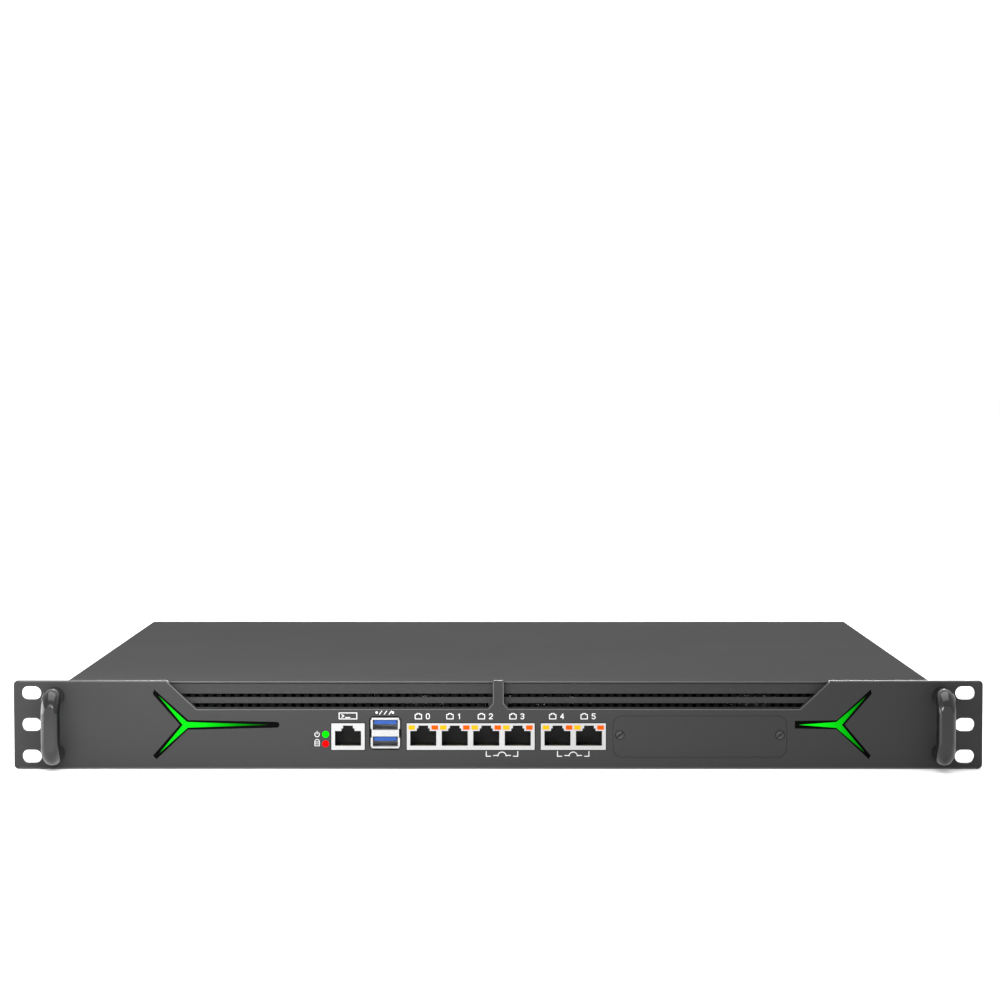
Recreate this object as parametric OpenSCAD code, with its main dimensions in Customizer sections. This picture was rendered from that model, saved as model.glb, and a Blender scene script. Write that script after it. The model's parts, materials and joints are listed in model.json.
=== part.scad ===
// One-unit rack firewall appliance.
// Millimetres. +X is the right of the front panel, the front faces -Y, +Z is up.
// The origin lies under the middle of the bounding box, on the plane the chassis stands on.

/* [Front panel] */
// Width across the rack ears
panel_w = 482.6; // [480:0.1:484]
// Height of the front panel
panel_h = 44; // [43.8:0.05:44.4]
// Thickness of the front panel
panel_t = 3; // [2.5:0.1:4]
// Corner radius of the front panel
panel_r = 2; // [0.5:0.5:4]
// Distance between the left and right rack slots
rack_pitch_x = 465.1; // [464:0.1:466]
// Distance between neighbouring slots of one ear
rack_pitch_z = 15.875; // [15.8:0.005:15.95]
// Length of a rack slot
rack_slot_w = 9.8; // [9:0.1:10.5]
// Height of a rack slot
rack_slot_h = 6.6; // [6.2:0.1:7]

/* [Body] */
// Width of the chassis
body_w = 430; // [428:1:436]
// Height of the chassis with its cover
body_h = 43.6; // [43.2:0.1:43.6]
// Depth from the front face to the rear wall
body_d = 400; // [380:5:460]
// Thickness of the chassis sheet
sheet = 1.2; // [1:0.1:1.4]
// Height of the cover's side skirts
skirt_h = 11.7; // [9:0.1:14]
// Gap between a skirt and the shoulder under it
skirt_gap = 1.1; // [0.6:0.1:1.6]

/* [Vent trays] */
// Depth of the trays behind the front face
tray_d = 4; // [3.5:0.1:4.5]
// Lower edge of the trays
tray_z = 29.8; // [29.4:0.1:30.1]
// Reach of a tray at its open top
tray_top_x = 165.2; // [160:0.1:167]
// Reach of a tray at its lower edge
tray_low_x = 150.4; // [148:0.1:153]
// Width of the rib between the trays
rib_w = 4.4; // [4:0.1:5]
// Pitch of the perforation behind the slots
vent_pitch = 4.37; // [4.2:0.01:6]

/* [Handles] */
// Distance between the two handles
handle_pitch = 441.5; // [441:0.5:443]
// Overall height of a handle
handle_h = 38; // [34:0.5:38.5]
// Width of the handle bar
handle_w = 9.6; // [8.5:0.1:9.8]
// How far a handle stands out
handle_reach = 22; // [20:0.5:40]
// Thickness of the bar, front to back
handle_bar_t = 8; // [6:0.5:9]

/* [Sockets] */
// Pitch of the network sockets
lan_pitch = 15.7; // [15.6:0.05:15.8]
// Middle of the first network socket
lan_x = -37.4; // [-37.6:0.1:-37.2]
// Middle of the fifth network socket
lan_b_x = 29.5; // [29.3:0.1:29.7]
// Middle of the console socket
console_x = -74.9; // [-75.2:0.1:-74.6]
// Lower edge of the socket blocks
jack_z = 9.4; // [9:0.1:9.8]
// Height of the socket blocks
jack_h = 13.3; // [13:0.1:13.6]
// Depth of a socket block
jack_d = 21; // [18:0.5:26]
// Depth of a plug cavity
jack_bore = 14; // [12:0.5:16]
// Middle of the two stacked bus sockets
usb_x = -56.3; // [-56.5:0.1:-56.1]

/* [Expansion bay cover] */
// Middle of the cover plate
blank_x = 100.5; // [100:0.1:101]
// Width of the cover plate
blank_w = 86.4; // [84:0.1:87]
// Height of the cover plate
blank_h = 20.5; // [19:0.1:21.5]

/* [Rear plate] */
// Tilt of the switch rocker at rest
rocker_tilt = 9; // [7:1:10]
// Middle of the rocker switch
switch_x = 189.9; // [189.6:0.1:190.4]
// Middle of the push button
button_x = 106.2; // [105.9:0.1:106.8]

/* [Fans] */
// Pitch of the three fans
fan_pitch = 40.25; // [40.2:0.05:40.6]
// Middle of the centre fan
fan_x = 2.4; // [2:0.1:3]
// Depth of a fan
fan_d = 20; // [15:1:28]

/* [Power supply] */
// Width of the power supply
psu_w = 81.5; // [81:0.1:82]
// Height of the power supply
psu_h = 40; // [39:0.1:40.4]
// Depth of the power supply
psu_d = 150; // [150:1:170]
// Pitch across the raised bumps of its vent plate
bump_pitch = 5.67; // [5.4:0.01:6]
// Radius of a bump on the vent plate
bump_r = 1.8; // [1.4:0.05:1.9]

/* [Hidden] */
$fn = 48;
eps = 0.02;
slip = 0.15;
part_gap = 0.3;

c_powder = [0.30, 0.30, 0.31];
c_steel = [0.72, 0.73, 0.74];
c_zinc = [0.80, 0.80, 0.78];
c_black = [0.05, 0.05, 0.055];
c_dark = [0.15, 0.15, 0.16];
c_green = [0.05, 0.95, 0.10];
c_red = [0.95, 0.05, 0.05];
c_yellow = [1.00, 0.78, 0.15];
c_orange = [1.00, 0.42, 0.08];
c_blue = [0.12, 0.30, 0.75];
c_gold = [0.85, 0.65, 0.25];
c_board = [0.05, 0.28, 0.15];
c_light = [0.80, 0.81, 0.82];

// Depth stations, measured back from the front face
back_y = body_d;
wall_y = back_y - sheet;
cover_over = 0.8;
flange_out = 2;
pin_reach = 14;
bump_cols = 6;
lid_z = body_h - sheet;
mid_z = panel_h / 2;

tray_t = 1.4;
tray_back = tray_d + tray_t;
row_top = [35.4, 37.2];
row_low = [30.4, 32.4];
row_rise = lid_z - 0.2;

jack_face = -0.2;
jack_wall = 0.4;
jack_w = 16.6;
insert_w = lan_pitch - 0.3;
usb_back = 9.8;
lan4_w = 63.7;
lan2_w = 32.4;
jack_open_z = jack_z + 2.1;
lamp_w = 3.3;
lamp_h = 2.2;
lamp_off = 5.75;
lamp_z = 20.6;

fan_size = 40;
fan_bore_r = 19.1;
fan_hub_r = 9.5;
fan_tip_r = 18.5;
fan_z = 21.4;
fan_y = wall_y - 0.6 - fan_d;
grille_r = 18;
axle_r = 1;
axle_play = 0.06;

plate_y = wall_y - 1;
plate_t = 1;
io_lo = [101.4, 8.1];
io_hi = [200, 33];
io_screws = [[205.1, 21.2], [149.9, 38.2], [149.9, 4.5], [95.1, 21.2]];
plug_xs = [172.5, 157.5, 142.4, 127.5];
plug_z = 27.8;
video_x = 160.1;
video_z = 14.2;
button_z = 27.4;
button_r = 2.55;

switch_z = 21.5;
rocker_r = 8.8;
rocker_w = 10.6;
rocker_edge = 5.2;
rocker_set = 2.2;
rocker_pivot = plate_y + plate_t - rocker_set;
rocker_half = sqrt(rocker_r * rocker_r - rocker_edge * rocker_edge);
rear_max = rocker_edge * cos(rocker_tilt) + rocker_half * sin(rocker_tilt) - rocker_set - sheet;
home_y = -(body_d + rear_max - handle_reach) / 2;
switch_open = 9.1;
switch_depth = 15;

psu_x = -162.25;
psu_y = wall_y - psu_d;
psu_z = sheet + 0.6;
psu_t = 0.8;
vent_lo = [-168.9, 4.9];
vent_hi = [-130.6, 38.8];
inlet_lo = [-197.4, 8.3];
inlet_hi = [-174, 38.9];
inlet_x = -185.7;
inlet_z = 23.5;
inlet_depth = 19;
psu_screw_at = [[-124.7, 37], [-124.5, 5.2], [-185.7, 4.7]];
rear_screw_at = [[83.2, 37], [-83.2, 37], [-93.5, 36.4], [-93.5, 6.5], [-207.8, 36.4], [-207.8, 6.5]];

board_y = 9;
board_z = 7.7;
board_t = 1.6;
board_x0 = -104;
board_x1 = 104;
board_d = 220;

module at_home()
    translate([0, home_y, 0])
        children();

// Draws a flat outline in the X-Z plane and thickens it from y to y + t
module face(y, t)
    translate([0, y + t, 0])
        rotate([90, 0, 0])
            linear_extrude(t)
                children();

// A round rod lying along Y
module rod(x, y, z, r, t)
    translate([x, y, z])
        rotate([-90, 0, 0])
            cylinder(h = t, r = r);

module cone(x, y, z, r1, r2, t)
    translate([x, y, z])
        rotate([-90, 0, 0])
            cylinder(h = t, r1 = r1, r2 = r2);

module block(x0, x1, y0, y1, z0, z1)
    translate([x0, y0, z0])
        cube([x1 - x0, y1 - y0, z1 - z0]);

// A rectangle with true round corners
module soft(w, h, r) {
    square([w - 2 * r, h], center = true);
    square([w, h - 2 * r], center = true);
    for (i = [-1, 1], j = [-1, 1])
        translate([i * (w / 2 - r), j * (h / 2 - r)])
            circle(r);
}

module soft_span(lo, hi, r)
    translate([(lo[0] + hi[0]) / 2, (lo[1] + hi[1]) / 2])
        soft(hi[0] - lo[0], hi[1] - lo[1], r);

// A slot with round ends, long side along X
module slot_at(x, z, w, h) {
    translate([x, z])
        square([w - h, h], center = true);
    for (i = [-1, 1])
        translate([x + i * (w - h) / 2, z])
            circle(h / 2);
}

// Countersunk screw whose head is flush with y on the rear side
module flush_screw(x, z, y, r, len)
    difference() {
        union() {
            cone(x, y - r * 0.8, z, r * 0.45, r, r * 0.8);
            rod(x, y - len, z, r * 0.45, len - r * 0.7);
        }
        cross_recess(x, z, y + eps, r * 1.15);
    }

module cross_recess(x, z, y, w)
    for (a = [0, 90])
        translate([x, y, z])
            rotate([0, a, 0])
                translate([-w / 2, -0.9, -0.28])
                    cube([w, 0.9, 0.56]);

// Pan-head screw standing on a face that looks to the rear
module pan_screw(x, z, y, r, len)
    difference() {
        union() {
            cone(x, y, z, r, r * 0.78, 1.5);
            rod(x, y - len, z, r * 0.5, len + eps);
        }
        translate([0, 1.5, 0])
            cross_recess(x, z, y + eps, r * 1.1);
    }

// ---- front panel ----------------------------------------------------------

module tray_outline(s)
    polygon([
        [s * (rib_w / 2), panel_h + 1],
        [s * (rib_w / 2), tray_z + 2.7],
        [s * (rib_w / 2 + 2.7), tray_z],
        [s * tray_low_x, tray_z],
        [s * tray_top_x, panel_h],
        [s * (tray_top_x + 1), panel_h + 1]
    ]);

module vent_rows(s, grow) {
    slot_row(s, row_top, [rib_w / 2 + 0.6, 156.6], grow);
    slot_row(s, row_low, [rib_w / 2 + 2.6, 150.9], grow);
}

module slot_row(s, zs, xs, grow)
    polygon([
        [s * (xs[0] - grow), zs[0] - grow],
        [s * (xs[1] + grow), zs[0] - grow],
        [s * (xs[1] + grow + zs[1] - zs[0]), zs[1] + grow],
        [s * (xs[0] - grow), zs[1] + grow]
    ]);

module left_window()
    union() {
        polygon([
            [-171.4, 39.7], [-154.5, 24.3], [-110.4, 23.4], [-110.4, 20.5],
            [-154.7, 19.5], [-170.5, 4.6], [-172.2, 6.5], [-158.7, 21.9], [-172.1, 37.3]
        ]);
        translate([-110.5, 21.95])
            circle(1.46);
    }

module left_glow()
    polygon([
        [-169.1, 36.3], [-155.1, 23.3], [-114.6, 21.95],
        [-154.7, 20.5], [-168.8, 7.9], [-157.3, 21.9]
    ]);

module right_window()
    polygon([
        [185.5, 39.7], [168.6, 24.2], [147.8, 23.9], [147.8, 20.1],
        [168.6, 19.7], [184.9, 4.6], [185.7, 6.6], [172.6, 22], [186, 37.4]
    ]);

module right_glow()
    polygon([
        [182.9, 35.8], [168.5, 23.3], [150, 21.9],
        [168.5, 20.4], [182.6, 8.2], [171.2, 21.9]
    ]);

module panel_cutouts() {
    soft_span([console_x - jack_w / 2 - slip, jack_z - slip],
              [console_x + jack_w / 2 + slip, jack_z + jack_h + slip], 0.3);
    soft_span([lan_x - 8.2 - slip, jack_z - slip],
              [lan_x - 8.2 + lan4_w + slip, jack_z + jack_h + slip], 0.3);
    soft_span([lan_b_x - 8.3 - slip, jack_z - slip],
              [lan_b_x - 8.3 + lan2_w + slip, jack_z + jack_h + slip], 0.3);
    soft_span([usb_x - 7.8, 9.6], [usb_x + 7.8, 26.1], 2);
    for (z = [17.15, 12.4])
        translate([-86.1, z])
            circle(1.75);
}

module front_panel()
    color(c_powder) at_home()
        difference() {
            union() {
                face(0, panel_t)
                    translate([0, mid_z])
                        soft(panel_w, panel_h, panel_r);
                face(panel_t - eps, tray_back - panel_t + eps)
                    soft_span([-tray_top_x - 2, tray_z - 1.6], [tray_top_x + 2, row_rise], 1);
            }
            for (s = [-1, 1]) {
                face(-1, tray_d + 1)
                    tray_outline(s);
                face(tray_d - 1, tray_t + 2)
                    vent_rows(s, 0);
                for (k = [-1, 0, 1])
                    face(-1, panel_t + 2)
                        slot_at(s * rack_pitch_x / 2, mid_z + k * rack_pitch_z, rack_slot_w, rack_slot_h);
                for (k = [-1, 1])
                    rod(s * handle_pitch / 2, -1, mid_z + k * (handle_h - handle_w) / 2,
                        1.7, panel_t + 2);
            }
            face(-1, panel_t + 1 + eps)
                panel_cutouts();
            face(-1, tray_back + 2) {
                left_window();
                right_window();
            }
            face(-1, 2)
                translate([blank_x, 16.05])
                    soft(blank_w + 0.3, blank_h + 0.3, 4.6);
            for (s = [-1, 1])
                rod(blank_x + s * 39.9, 0, 16.8, 1.3, panel_t + 1);
        }

module vent_mesh()
    color(c_dark) at_home()
        for (s = [-1, 1])
            difference() {
                face(tray_back + 0.1, 0.8)
                    soft_span([s > 0 ? 3 : -163, tray_z - 1], [s > 0 ? 163 : -3, row_rise - 0.6], 0.5);
                for (row = [row_top, row_low])
                    mesh_row(s, row);
            }

module mesh_row(s, row)
    for (i = [1 : floor(158 / vent_pitch)])
        translate([s * (i * vent_pitch + 1.8), tray_back + 0.5, (row[0] + row[1]) / 2])
            cube([2, 2, 2.4], center = true);

// ---- handles --------------------------------------------------------------

// A D handle: two legs, two quarter bends and a straight bar, all of one round section
module handle(s) {
    r = handle_w / 2;
    bend = r + 2.2;
    top = handle_h / 2 - r;
    front = handle_reach - handle_bar_t / 2;
    leg = front - bend;
    color(c_black) at_home()
        translate([s * handle_pitch / 2, 0, mid_z])
            difference() {
                union() {
                    for (k = [-1, 1]) {
                        translate([0, -leg, k * top])
                            rotate([-90, 0, 0])
                                cylinder(h = leg, r = r);
                        translate([0, -leg, k * (top - bend)])
                            rotate([k > 0 ? 0 : 90, 0, 0])
                                rotate([90, 0, -90])
                                    quarter_bend(bend, r);
                    }
                    translate([0, -front, -(top - bend)])
                        cylinder(h = 2 * (top - bend), r = r);
                }
                translate([-r, -handle_reach - handle_w, -handle_h])
                    cube([handle_w, handle_w, handle_h * 2]);
                for (k = [-1, 1])
                    rod(0, -7, k * top, 1.3, 8);
            }
}

module quarter_bend(bend, r)
    rotate_extrude(angle = 90)
        translate([bend, 0])
            circle(r);

module handle_left() handle(-1);
module handle_right() handle(1);

module handle_screws()
    color(c_steel) at_home()
        for (s = [-1, 1], k = [-1, 1])
            translate([s * handle_pitch / 2, panel_t, mid_z + k * (handle_h - handle_w) / 2])
                rotate([-90, 0, 0])
                    difference() {
                        union() {
                            cylinder(h = 1.4, r = 2.6);
                            translate([0, 0, -8.5])
                                cylinder(h = 8.6, r = 1.25);
                        }
                        translate([0, 0, 0.6])
                            cylinder(h = 1, r = 1.15, $fn = 6);
                    }

// ---- front furniture ------------------------------------------------------

module blank_cover()
    color(c_powder) at_home()
        difference() {
            face(0, 1 - eps)
                translate([blank_x, 16.05])
                    soft(blank_w, blank_h, 4.5);
            for (s = [-1, 1])
                rod(blank_x + s * 39.9, -1, 16.8, 2.2, 1.6);
            for (s = [-1, 1])
                rod(blank_x + s * 39.9, -1, 16.8, 1.4, 3);
        }

module blank_cover_screws()
    color(c_steel) at_home()
        for (s = [-1, 1])
            difference() {
                union() {
                    rod(blank_x + s * 39.9, -0.3, 16.8, 2.05, 0.85);
                    rod(blank_x + s * 39.9, 0.4, 16.8, 1.2, 5.5);
                }
                translate([blank_x + s * 39.9, -0.4, 16.8])
                    rotate([0, s * 12, 0])
                        cube([4.6, 0.9, 0.6], center = true);
            }

module bezel(y, t) {
    color(c_black) at_home()
        difference() {
            face(y, t)
                children(0);
            face(y - 1, t + 2)
                children(1);
        }
}

module light_bezel_left()
    bezel(0.35, panel_t - 0.35) {
        left_window();
        left_glow();
    }

module light_bezel_right()
    bezel(0.35, panel_t - 0.35) {
        right_window();
        right_glow();
    }

module light_guide_left()
    color(c_green) at_home()
        face(0.2, 4.4)
            left_glow();

module light_guide_right()
    color(c_green) at_home()
        face(0.2, 4.4)
            right_glow();

// Small boards with emitters that light the two guides from behind
module light_boards()
    color(c_board) at_home()
        for (span = [[-174, -108], [146, 188]]) {
            block(span[0], span[1], tray_back + 1.2, tray_back + 2.2, 7, 27.6);
            for (i = [0 : 2])
                translate([span[0] + (i + 1) * (span[1] - span[0]) / 4 - 1.5, tray_back - 0.6, 20.6])
                    cube([3, 1.9, 2.4]);
        }

module status_pipe(z)
    union() {
        rod(-86.1, -0.25, z, 1.65, 5.5);
        cone(-86.1, -0.5, z, 1.2, 1.65, 0.25 + eps);
    }

module power_pipe()
    color(c_green) at_home()
        status_pipe(17.15);

module storage_pipe()
    color(c_red) at_home()
        status_pipe(12.4);

// ---- network and console sockets ------------------------------------------

module jack_profile() {
    translate([-6.5, 0])
        square([13, 7.4]);
    translate([-3.25, 7])
        square([6.5, 1.7]);
    translate([-2.45, 8])
        square([4.9, 2.1]);
}

module jack_shell(x0, w, centres, lamps)
    color(c_zinc) at_home()
        difference() {
            block(x0, x0 + w, jack_face, jack_face + jack_d, jack_z, jack_z + jack_h);
            block(x0 + jack_wall, x0 + w - jack_wall, jack_face + jack_wall, jack_face + jack_d + 1,
                  jack_z + jack_wall, jack_z + jack_h - jack_wall);
            for (x = centres) {
                face(jack_face - 1, 2)
                    translate([x, jack_open_z])
                        jack_profile();
                if (lamps)
                    for (s = [-1, 1])
                        face(jack_face - 1, 2)
                            translate([x + s * lamp_off, lamp_z])
                                square([lamp_w, lamp_h], center = true);
            }
        }

module jack_insert(x)
    difference() {
        block(x - insert_w / 2, x + insert_w / 2, jack_face + jack_wall + 0.05,
              jack_face + jack_d - 0.5, jack_z + jack_wall + 0.05, jack_z + jack_h - jack_wall - 0.05);
        face(jack_face - 1, jack_bore + 1)
            translate([x, jack_open_z])
                jack_profile();
        for (s = [-1, 1])
            face(jack_face, 6)
                translate([x + s * lamp_off, lamp_z])
                    square([lamp_w + 0.05, lamp_h + 0.05], center = true);
    }

function lan_centres(x, n) = [for (i = [0 : n - 1]) x + i * lan_pitch];

module lan_block_four()
    jack_shell(lan_x - 8.2, lan4_w, lan_centres(lan_x, 4), true);

module lan_block_two()
    jack_shell(lan_b_x - 8.3, lan2_w, lan_centres(lan_b_x, 2), true);

module console_socket()
    jack_shell(console_x - jack_w / 2, jack_w, [console_x], false);

module socket_inserts()
    color(c_dark) at_home()
        for (x = concat([console_x], lan_centres(lan_x, 4), lan_centres(lan_b_x, 2)))
            jack_insert(x);

module socket_contacts()
    color(c_gold) at_home()
        for (x = concat([console_x], lan_centres(lan_x, 4), lan_centres(lan_b_x, 2)), i = [0 : 7])
            translate([x - 3.57 + i * 1.02 - 0.18, 3.2, jack_open_z + eps])
                cube([0.36, 9, 0.35]);

module link_lamps(s)
    for (x = concat(lan_centres(lan_x, 4), lan_centres(lan_b_x, 2)))
        translate([x + s * lamp_off - lamp_w / 2 + 0.05, jack_face - 0.05, lamp_z - lamp_h / 2 + 0.05])
            cube([lamp_w - 0.1, 5.5, lamp_h - 0.1]);

module link_lamps_yellow()
    color(c_yellow) at_home()
        link_lamps(-1);

module link_lamps_orange()
    color(c_orange) at_home()
        link_lamps(1);

// ---- stacked bus sockets --------------------------------------------------

module usb_sockets()
    color(c_zinc) at_home()
        difference() {
            union() {
                block(usb_x - 6.8, usb_x + 6.8, jack_face, 17, 10.2, 25.5);
                for (z = [13.2, 22.2])
                    block(usb_x - 7.3, usb_x + 7.3, jack_face, 2.4, z - 2.2, z + 2.2);
            }
            for (z = [13.6, 21.9])
                block(usb_x - 6.25, usb_x + 6.25, jack_face - 1, usb_back, z - 2.55, z + 2.55);
        }

module usb_tongues()
    color(c_blue) at_home()
        for (z = [14.9, 23.2])
            block(usb_x - 5.6, usb_x + 5.6, 0.7, usb_back - 0.02, z - 1, z + 0.95);

// ---- chassis and cover ----------------------------------------------------

module tray_profile() {
    o = body_w / 2;
    i = o - sheet - 0.1;
    shoulder = body_h - skirt_h - skirt_gap;
    polygon([
        [-i, lid_z - 0.1], [-i, shoulder + 0.9], [-o, shoulder], [-o, 0],
        [o, 0], [o, shoulder], [i, shoulder + 0.9], [i, lid_z - 0.1],
        [i - sheet, lid_z - 0.1], [i - sheet, shoulder + 0.4],
        [o - sheet, shoulder - 0.5], [o - sheet, sheet],
        [-o + sheet, sheet], [-o + sheet, shoulder - 0.5],
        [-i + sheet, shoulder + 0.4], [-i + sheet, lid_z - 0.1]
    ]);
}

module fan_slots(x)
    translate([x, fan_z])
        intersection() {
            circle(grille_r);
            for (a = [30, 150, 270])
                rotate(a)
                    for (s = [-1, 1], k = [0 : 3])
                        grille_slot([2.7, 5.1, 6.9, 8.7][k] + 1.15, s * [2.24, 5.96, 9.7, 13.3][k]);
        }

module grille_slot(start, off) {
    translate([start, off - 1.15])
        square([grille_r, 2.3]);
    translate([start, off])
        circle(1.15);
}

module rear_wall_outline() {
    o = body_w / 2 - sheet / 2;
    i = body_w / 2 - sheet - 0.2;
    square_from([-o, sheet - eps], [o, body_h - skirt_h - skirt_gap - 0.8]);
    square_from([-i, sheet - eps], [i, lid_z - 1]);
    square_from([-89, lid_z - 1.1], [89, lid_z - 0.15]);
}

module square_from(lo, hi)
    translate(lo)
        square([hi[0] - lo[0], hi[1] - lo[1]]);

module chassis_base()
    color(c_powder) at_home()
        difference() {
            union() {
                face(panel_t + eps, back_y - panel_t - eps)
                    tray_profile();
                face(wall_y, sheet)
                    rear_wall_outline();
                for (s = [-1, 1])
                    block(s > 0 ? 198 : -214, s > 0 ? 214 : -198, panel_t + eps, panel_t + sheet,
                          3, body_h - skirt_h - skirt_gap - 1);
            }
            for (k = [-1, 0, 1])
                face(wall_y - 1, sheet + 2)
                    fan_slots(fan_x + k * fan_pitch);
            face(wall_y - 1, sheet + 2) {
                soft_span(io_lo, io_hi, 2);
                soft_span(vent_lo, vent_hi, 1.2);
                soft_span(inlet_lo - [slip, slip], inlet_hi + [slip, slip], 0.6);
            }
            for (p = concat(io_screws, rear_screw_at))
                cone(p[0], wall_y - eps, p[1], 1.15, 2.05, sheet + 2 * eps);
            for (p = psu_screw_at)
                rod(p[0], wall_y - 1, p[1], 1.6, sheet + 2);
        }

module top_cover()
    color(c_powder) at_home()
        difference() {
            union() {
                face(panel_t + 2 * eps, back_y + cover_over - panel_t - 2 * eps) {
                    square_from([-body_w / 2, lid_z], [body_w / 2, body_h]);
                    for (s = [-1, 1])
                        translate([s > 0 ? body_w / 2 - sheet : -body_w / 2, body_h - skirt_h])
                            square([sheet, skirt_h]);
                }
                for (x = [-88.5, 78])
                    block(x, x + 10.5, wall_y - sheet, wall_y - eps, 33, lid_z + eps);
            }
            block(-89, 89, back_y, back_y + cover_over + 1, lid_z - 1, body_h + 1);
            for (s = [-1, 1])
                rod(s * 83.2, wall_y - 3, 37, 1.2, 4);
        }

// ---- rear plate -----------------------------------------------------------

module d_hole(x, z, r)
    translate([x, z])
        intersection() {
            circle(r);
            translate([-r, -r + 1.1])
                square(2 * r);
        }

module io_plate()
    color(c_powder) at_home()
        difference() {
            face(plate_y, plate_t - eps)
                soft_span([90.5, 1.4], [209.6, 41.8], 1);
            face(plate_y - 1, plate_t + 2) {
                translate([switch_x, switch_z])
                    square([12.9, 19.9], center = true);
                for (x = plug_xs)
                    d_hole(x, plug_z, 3);
                video_cutout(9.05, 4.5);
                translate([button_x, button_z])
                    circle(button_r + part_gap);
                for (s = [-1, 1])
                    translate([video_x + s * 13.35, video_z + 0.3])
                        circle(1.3);
            }
            for (p = io_screws)
                rod(p[0], plate_y - 1, p[1], 1.2, plate_t + 2);
        }

module video_cutout(w, h)
    translate([video_x, video_z])
        polygon([
            [-w, h], [w, h], [w, -h + 2.4], [w - 2, -h],
            [-w + 2, -h], [-w, -h + 2.4]
        ]);

module rear_screws()
    color(c_steel) at_home()
        for (p = concat(io_screws, rear_screw_at))
            flush_screw(p[0], p[1], back_y, 1.95, 4.2);

// Fixed body of the rocker switch with its flange and pivot bores
module switch_body()
    color(c_black) at_home()
        difference() {
            union() {
                face(plate_y + plate_t, flange_out)
                    translate([switch_x, switch_z])
                        soft(14.4, 20.9, 1);
                face(plate_y + plate_t - switch_depth, switch_depth + eps)
                    translate([switch_x, switch_z])
                        square([12.6, 19.6], center = true);
            }
            face(plate_y - 9, 20)
                translate([switch_x, switch_z])
                    square([rocker_w + 0.6, 2 * switch_open], center = true);
            translate([switch_x - 7, rocker_pivot, switch_z])
                rotate([0, 90, 0])
                    cylinder(h = 14, r = 0.95);
        }

// Rocker with round ends about its own pivot and a shallow V face
module power_rocker()
    color(c_black) at_home()
        translate([switch_x, rocker_pivot, switch_z])
            rotate([rocker_tilt, 0, 0])
                rotate([0, 90, 0]) {
                    linear_extrude(rocker_w, center = true)
                        intersection() {
                            circle(rocker_r);
                            polygon([
                                [-9, -3.4], [-9, rocker_edge], [0, rocker_edge - 1.3],
                                [9, rocker_edge], [9, -3.4]
                            ]);
                        }
                    cylinder(h = 12.4, r = 0.9, center = true);
                }

module antenna_plugs()
    color(c_dark) at_home()
        for (x = plug_xs) {
            face(plate_y + plate_t, 1)
                d_hole(x, plug_z, 3.8);
            face(plate_y - 2, plate_t + 2 + eps)
                d_hole(x, plug_z, 2.9);
        }

module video_socket()
    color(c_zinc) at_home()
        difference() {
            face(plate_y - 10, plate_t + 10.6)
                video_shell(7.6, 2.8);
            face(plate_y - 8, plate_t + 12)
                video_shell(7.1, 2.3);
        }

module video_shell(w, h)
    translate([video_x, video_z])
        polygon([
            [-w, h], [w, h], [w, -h + 1.9], [w - 1.6, -h],
            [-w + 1.6, -h], [-w, -h + 1.9]
        ]);

module video_tongue()
    color(c_black) at_home()
        block(video_x - 6, video_x + 6, plate_y - 8, plate_y + plate_t - 0.4,
              video_z + 0.1, video_z + 1.5);

module video_screws()
    color(c_steel) at_home()
        for (s = [-1, 1])
            pan_screw(video_x + s * 13.35, video_z + 0.3, plate_y + plate_t, 2.5, 5);

module reset_button()
    color(c_light) at_home()
        union() {
            rod(button_x, plate_y - 1.4, button_z, button_r, plate_t + 2.6);
            rod(button_x, plate_y - 1.4, button_z, button_r + 0.7, 1.1);
        }

module rear_io_board()
    color(c_board) at_home() {
        block(96, 183, plate_y - 36, plate_y - 4, video_z - 6, video_z - 4.4);
        block(104, 118, plate_y - 34, plate_y - 26, video_z - 4.4, video_z - 0.4);
        block(video_x - 7, video_x + 7, plate_y - 18, plate_y - 10, video_z - 4.4, video_z - 2.9);
        block(button_x - 3, button_x + 3, plate_y - 12, plate_y - 8, video_z - 4.4, button_z + 3);
        difference() {
            block(button_x - 4.4, button_x + 4.4, plate_y - 8 - eps, plate_y - 0.2,
                  button_z - 4.4, button_z + 4.4);
            rod(button_x, plate_y - 4.4, button_z, button_r + 0.7 + part_gap, 5);
        }
    }

// ---- fans -----------------------------------------------------------------

module fan_frame(k)
    color(c_black) at_home()
        translate([fan_x + k * fan_pitch, fan_y, fan_z])
            difference() {
                union() {
                    difference() {
                        face(0, fan_d)
                            soft(fan_size, fan_size, 3);
                        rod(0, -1, 0, fan_bore_r, fan_d + 2);
                    }
                    rod(0, fan_d - 2.6, 0, fan_hub_r, 2.6);
                    for (a = [90, 210, 330])
                        rotate([0, -a, 0])
                            translate([fan_hub_r - 0.5, fan_d - 2.6, -1.2])
                                cube([fan_bore_r - fan_hub_r + 1, 2.2, 2.4]);
                }
                for (i = [-1, 1], j = [-1, 1])
                    rod(i * 16, -1, j * 16, 1.7, fan_d + 2);
                rod(0, 0, 0, axle_r + axle_play, fan_d + 1);
            }

module fan_rotor(k)
    color(c_dark) at_home()
        translate([fan_x + k * fan_pitch, fan_y, fan_z])
            union() {
                rod(0, 2, 0, fan_hub_r, fan_d - 5);
                rod(0, 2, 0, axle_r, fan_d - 2.4);
                intersection() {
                    rod(0, 1.5, 0, fan_tip_r, fan_d - 5);
                    for (i = [0 : 6])
                        rotate([0, i * 360 / 7, 0])
                            translate([fan_hub_r - 1, (fan_d - 1) / 2, 0])
                                rotate([48, 0, 0])
                                    translate([0, -0.45, -8])
                                        cube([12, 0.9, 16]);
                }
            }

module fan_frame_left() fan_frame(-1);
module fan_frame_middle() fan_frame(0);
module fan_frame_right() fan_frame(1);
module fan_rotor_left() fan_rotor(-1);
module fan_rotor_middle() fan_rotor(0);
module fan_rotor_right() fan_rotor(1);

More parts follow.
